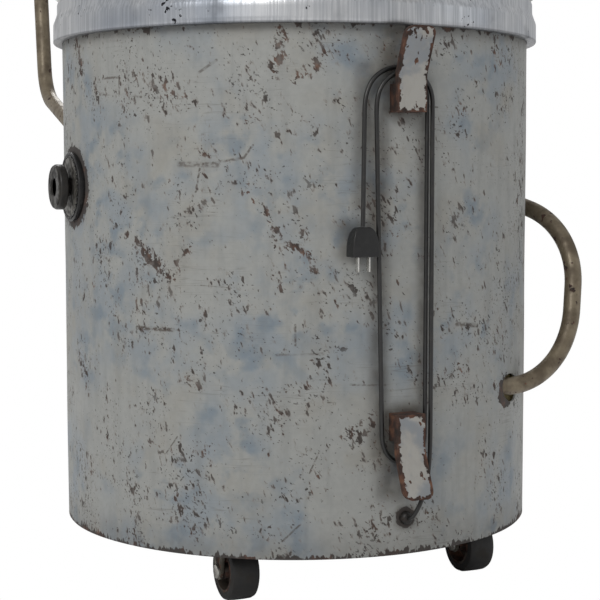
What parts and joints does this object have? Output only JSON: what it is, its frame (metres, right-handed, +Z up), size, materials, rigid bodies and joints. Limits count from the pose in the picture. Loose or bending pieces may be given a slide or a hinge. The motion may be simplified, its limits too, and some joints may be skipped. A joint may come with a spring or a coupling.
{
  "type": "pressure canner",
  "caption": "Wheeled electric pressure canner: worn drum casing with galvanised collar, clamped domed lid, dial, bent pipe, hanging power cord and push handle on casters.",
  "frame": {"origin": "on the drum's axis, at the level of the floor the casters stand on", "axes": "+Z up along the drum's axis, -Y towards the side with the cord hooks, +Y towards the push handle, -X towards the temperature dial"},
  "size_m": [0.6258, 0.8259, 0.873],
  "materials": {
    "paint": "worn matt off-white paint, chipped and rusty",
    "galvanised": "dull galvanised sheet with fine vertical brushing",
    "rusty_paint": "chipped white-grey paint over dark red-brown rust",
    "rusty_steel": "dirty steel with brown rust",
    "zinc": "dull zinc-plated steel",
    "bronze_tube": "tan-khaki lacquered tube, mottled",
    "cast_aluminium": "satin cast aluminium, scuffed",
    "bright_aluminium": "satin aluminium",
    "gasket_rubber": "matt black",
    "tyre_rubber": "matt charcoal",
    "bakelite": "worn black moulding",
    "cord_black": "satin black sleeve",
    "plug_black": "satin black moulding",
    "blade_steel": "bright nickel plate",
    "dial_metal": "mottled worn grey metal",
    "gauge_chrome": "dull chrome",
    "gauge_face": "matt cream",
    "needle_black": "matt black",
    "clear_glass": "clear",
    "brass": "dull brass",
    "grip_black": "satin black",
    "wool": "matt mineral wool",
    "element_steel": "heat-darkened steel",
    "hub_rust": "rusty brown"
  },
  "bodies": {
    "canner": {"base_pan": "rusty_paint", "bent_pipe": "bronze_tube", "casing_shell": "paint", "caster_bolts": "zinc", "cord_gland": "bakelite", "dial_bezel": "bakelite", "handle_sockets": "zinc", "heating_element": "element_steel", "insulation": "wool", "lower_cord_hook": "rusty_paint", "pipe_unions": "brass", "pivot_pins": "zinc", "plug_blades": "blade_steel", "plug_body": "plug_black", "power_cord": "cord_black", "pressure_vessel": "cast_aluminium", "push_handle": "bronze_tube", "rigid_axles": "zinc", "rigid_forks": "rusty_steel", "swivel_plates": "rusty_steel", "terminal_box": "rusty_paint", "thermostat_body": "bakelite", "top_collar": "galvanised", "upper_cord_hook": "rusty_paint"},
    "dial": {"dial_knob": "dial_metal"},
    "lid": {"gauge_case": "gauge_chrome", "gauge_dial": "gauge_face", "gauge_glass": "clear_glass", "lid_dome": "cast_aluminium", "lid_gasket": "gasket_rubber", "lid_handles": "grip_black", "safety_plug": "brass", "vent_pipe": "brass"},
    "needle": {"gauge_needle": "needle_black"},
    "weight": {"regulator_weight": "zinc"},
    "rack": {"jar_rack": "bright_aluminium"},
    "front_wheel_left": {"tyre_front_left": "tyre_rubber", "wheel_hub_front_left": "hub_rust"},
    "rear_swivel_left": {"swivel_axle_rear_left": "zinc", "swivel_fork_rear_left": "rusty_steel"},
    "rear_wheel_left": {"tyre_rear_left": "tyre_rubber", "wheel_hub_rear_left": "hub_rust"},
    "front_wheel_right": {"tyre_front_right": "tyre_rubber", "wheel_hub_front_right": "hub_rust"},
    "rear_swivel_right": {"swivel_axle_rear_right": "zinc", "swivel_fork_rear_right": "rusty_steel"},
    "rear_wheel_right": {"tyre_rear_right": "tyre_rubber", "wheel_hub_rear_right": "hub_rust"},
    "swing_bolt_1": {"swing_bolt_1": "zinc"},
    "wing_nut_1": {"wing_nut_1": "brass"},
    "swing_bolt_2": {"swing_bolt_2": "zinc"},
    "wing_nut_2": {"wing_nut_2": "brass"},
    "swing_bolt_3": {"swing_bolt_3": "zinc"},
    "wing_nut_3": {"wing_nut_3": "brass"},
    "swing_bolt_4": {"swing_bolt_4": "zinc"},
    "wing_nut_4": {"wing_nut_4": "brass"},
    "swing_bolt_5": {"swing_bolt_5": "zinc"},
    "wing_nut_5": {"wing_nut_5": "brass"},
    "swing_bolt_6": {"swing_bolt_6": "zinc"},
    "wing_nut_6": {"wing_nut_6": "brass"}
  },
  "joints": [
    {"name": "dial_turn", "type": "hinge", "parent": "canner", "child": "dial", "pos_m": [-0.285, 0, 0.447], "axis": [1, 0, 0], "range_deg": [0, 300]},
    {"name": "lid_lift", "type": "slide", "parent": "canner", "child": "lid", "axis": [0, 0, 1], "range_m": [0, 0.2]},
    {"name": "needle_turn", "type": "hinge", "parent": "lid", "child": "needle", "pos_m": [0, -0.005, 0.833], "axis": [0, 1, 0], "range_deg": [0, 270]},
    {"name": "weight_lift", "type": "slide", "parent": "lid", "child": "weight", "axis": [0, 0, 1], "range_m": [0, 0.05]},
    {"name": "rack_lift", "type": "slide", "parent": "canner", "child": "rack", "axis": [0, 0, 1], "range_m": [0, 0.45]},
    {"name": "front_wheel_left_roll", "type": "hinge", "parent": "canner", "child": "front_wheel_left", "pos_m": [-0.146, -0.168, 0.0325], "axis": [1, 0, 0], "continuous": true},
    {"name": "rear_swivel_left_turn", "type": "hinge", "parent": "canner", "child": "rear_swivel_left", "pos_m": [-0.147, 0.147, 0.07], "axis": [0, 0, 1], "continuous": true},
    {"name": "rear_wheel_left_roll", "type": "hinge", "parent": "rear_swivel_left", "child": "rear_wheel_left", "pos_m": [-0.147, 0.125, 0.0325], "axis": [1, 0, 0], "continuous": true},
    {"name": "front_wheel_right_roll", "type": "hinge", "parent": "canner", "child": "front_wheel_right", "pos_m": [0.146, -0.168, 0.0325], "axis": [1, 0, 0], "continuous": true},
    {"name": "rear_swivel_right_turn", "type": "hinge", "parent": "canner", "child": "rear_swivel_right", "pos_m": [0.147, 0.147, 0.07], "axis": [0, 0, 1], "continuous": true},
    {"name": "rear_wheel_right_roll", "type": "hinge", "parent": "rear_swivel_right", "child": "rear_wheel_right", "pos_m": [0.147, 0.125, 0.0325], "axis": [1, 0, 0], "continuous": true},
    {"name": "swing_bolt_1_swing", "type": "hinge", "parent": "canner", "child": "swing_bolt_1", "pos_m": [0.02895, -0.27548, 0.6735], "axis": [0.9945, 0.1045, 0], "range_deg": [-60, 0]},
    {"name": "wing_nut_1_turn", "type": "hinge", "parent": "swing_bolt_1", "child": "wing_nut_1", "pos_m": [0.02895, -0.27548, 0.6735], "axis": [0.0905, -0.8613, 0.5], "continuous": true},
    {"name": "swing_bolt_2_swing", "type": "hinge", "parent": "canner", "child": "swing_bolt_2", "pos_m": [0.25305, -0.11267, 0.6735], "axis": [0.4067, 0.9135, 0], "range_deg": [-60, 0]},
    {"name": "wing_nut_2_turn", "type": "hinge", "parent": "swing_bolt_2", "child": "wing_nut_2", "pos_m": [0.25305, -0.11267, 0.6735], "axis": [0.7912, -0.3522, 0.5], "continuous": true},
    {"name": "swing_bolt_3_swing", "type": "hinge", "parent": "canner", "child": "swing_bolt_3", "pos_m": [0.2241, 0.16282, 0.6735], "axis": [-0.5878, 0.809, 0], "range_deg": [-60, 0]},
    {"name": "wing_nut_3_turn", "type": "hinge", "parent": "swing_bolt_3", "child": "wing_nut_3", "pos_m": [0.2241, 0.16282, 0.6735], "axis": [0.7006, 0.509, 0.5], "continuous": true},
    {"name": "swing_bolt_4_swing", "type": "hinge", "parent": "canner", "child": "swing_bolt_4", "pos_m": [-0.02895, 0.27548, 0.6735], "axis": [-0.9945, -0.1045, 0], "range_deg": [-60, 0]},
    {"name": "wing_nut_4_turn", "type": "hinge", "parent": "swing_bolt_4", "child": "wing_nut_4", "pos_m": [-0.02895, 0.27548, 0.6735], "axis": [-0.0905, 0.8613, 0.5], "continuous": true},
    {"name": "swing_bolt_5_swing", "type": "hinge", "parent": "canner", "child": "swing_bolt_5", "pos_m": [-0.25305, 0.11267, 0.6735], "axis": [-0.4067, -0.9135, 0], "range_deg": [-60, 0]},
    {"name": "wing_nut_5_turn", "type": "hinge", "parent": "swing_bolt_5", "child": "wing_nut_5", "pos_m": [-0.25305, 0.11267, 0.6735], "axis": [-0.7912, 0.3522, 0.5], "continuous": true},
    {"name": "swing_bolt_6_swing", "type": "hinge", "parent": "canner", "child": "swing_bolt_6", "pos_m": [-0.2241, -0.16282, 0.6735], "axis": [0.5878, -0.809, 0], "range_deg": [-60, 0]},
    {"name": "wing_nut_6_turn", "type": "hinge", "parent": "swing_bolt_6", "child": "wing_nut_6", "pos_m": [-0.2241, -0.16282, 0.6735], "axis": [-0.7006, -0.509, 0.5], "continuous": true}
  ]
}
